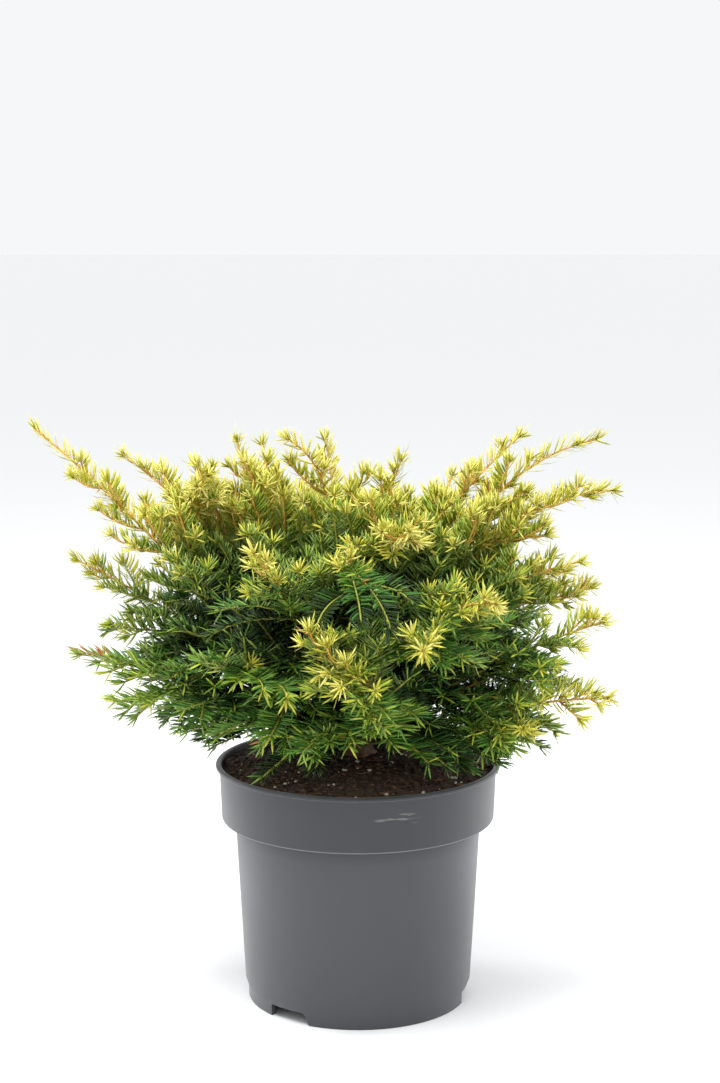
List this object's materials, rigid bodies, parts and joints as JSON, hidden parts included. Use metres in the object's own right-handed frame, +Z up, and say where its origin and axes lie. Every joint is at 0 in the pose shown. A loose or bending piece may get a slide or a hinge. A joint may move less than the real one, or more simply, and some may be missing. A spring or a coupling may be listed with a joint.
{
  "type": "potted yew shrub",
  "caption": "Golden spreading yew shrub with arching needled shoots, growing in a round dark grey nursery pot filled with soil.",
  "frame": {"origin": "on the floor under the middle of the whole plant's spread; the pot's axis stands 22 mm to +X and 16 mm to -Y of it", "axes": "+Z up, +X along the widest spread of the crown, -Y towards the pictured side"},
  "size_m": [0.5742, 0.4891, 0.5606],
  "materials": {
    "pot_plastic": "satin",
    "potting_soil": "matte",
    "bark": "matte",
    "needles_gold": "satin",
    "needles_lime": "satin",
    "needles_green": "satin"
  },
  "bodies": {
    "root": {"bough_back_high_1": "bark", "bough_back_high_2": "bark", "bough_back_high_3": "bark", "bough_back_low_1": "bark", "bough_back_low_2": "bark", "bough_back_low_3": "bark", "bough_back_low_4": "bark", "bough_front_centre": "bark", "bough_front_left": "bark", "bough_front_left_low": "bark", "bough_front_low": "bark", "bough_front_middle": "bark", "bough_front_right": "bark", "bough_left_high": "bark", "bough_left_long": "bark", "bough_left_low": "bark", "bough_left_middle": "bark", "bough_right_high": "bark", "bough_right_low": "bark", "bough_right_lower": "bark", "bough_right_middle": "bark", "bough_right_upper": "bark", "bough_right_upright": "bark", "bough_top_left": "bark", "bough_top_right": "bark", "mass_back_high_1": "needles_gold", "mass_back_high_2": "needles_gold", "mass_back_high_3": "needles_gold", "mass_back_low_1": "needles_lime", "mass_back_low_2": "needles_lime", "mass_back_low_3": "needles_lime", "mass_back_low_4": "needles_lime", "mass_front_centre": "needles_lime", "mass_front_left": "needles_gold", "mass_front_left_low": "needles_green", "mass_front_low": "needles_green", "mass_front_middle": "needles_lime", "mass_front_right": "needles_gold", "mass_left_high": "needles_gold", "mass_left_long": "needles_gold", "mass_left_low": "needles_green", "mass_left_middle": "needles_lime", "mass_right_high": "needles_gold", "mass_right_low": "needles_lime", "mass_right_lower": "needles_lime", "mass_right_middle": "needles_gold", "mass_right_upper": "needles_gold", "mass_right_upright": "needles_gold", "mass_skirt_1": "needles_green", "mass_skirt_2": "needles_green", "mass_skirt_3": "needles_green", "mass_skirt_4": "needles_green", "mass_skirt_5": "needles_green", "mass_skirt_6": "needles_green", "mass_top_left": "needles_gold", "mass_top_middle": "needles_gold", "mass_top_right": "needles_gold", "pot": "pot_plastic", "soil": "potting_soil", "stem": "bark"}
  },
  "joints": []
}
